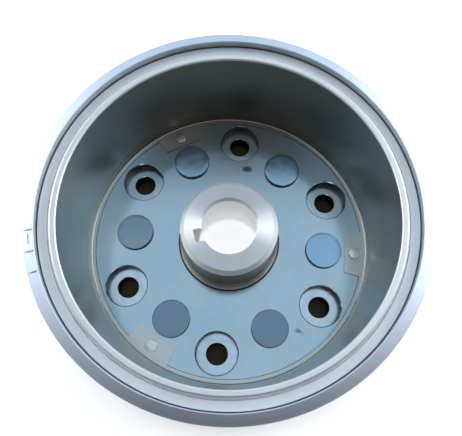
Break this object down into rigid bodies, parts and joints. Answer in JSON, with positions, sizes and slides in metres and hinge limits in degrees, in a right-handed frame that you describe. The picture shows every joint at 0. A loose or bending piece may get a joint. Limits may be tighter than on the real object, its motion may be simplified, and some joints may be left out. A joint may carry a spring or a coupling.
{
  "type": "magneto flywheel",
  "caption": "Cup-shaped magneto flywheel for a small engine, with a keyed taper hub, magnets behind a thin cover, rivets and recessed bolt holes.",
  "frame": {"origin": "on the crankshaft axis, at the rear face of the hub flange, which is the lowest face when the open side is up", "axes": "+Z along the crankshaft axis towards the open side of the cup; +X and +Y square to it, with the keyway at 196.5 degrees from +X"},
  "size_m": [0.138, 0.138, 0.055],
  "materials": {
    "shell": "matte grey-blue floor, machined rim",
    "machined_steel": "turned, satin bright",
    "stainless_cover": "drawn stainless, smooth",
    "satin_ring": "satin",
    "spacer": "plain",
    "cage": "moulded black",
    "magnet": "dark sintered",
    "rivet_steel": "smooth blue-grey"
  },
  "bodies": {
    "root": {"rotor_shell": "shell", "hub": "machined_steel", "magnet_cover": "stainless_cover", "front_retaining_ring": "satin_ring", "rear_spacer_ring": "spacer", "magnet_cage": "cage", "magnet_01": "magnet", "magnet_02": "magnet", "magnet_03": "magnet", "magnet_04": "magnet", "magnet_05": "magnet", "magnet_06": "magnet", "magnet_07": "magnet", "magnet_08": "magnet", "magnet_09": "magnet", "magnet_10": "magnet", "magnet_11": "magnet", "magnet_12": "magnet", "rivet_1": "rivet_steel", "rivet_2": "rivet_steel", "rivet_3": "rivet_steel", "rivet_4": "rivet_steel", "rivet_5": "rivet_steel", "rivet_6": "rivet_steel"}
  },
  "joints": []
}
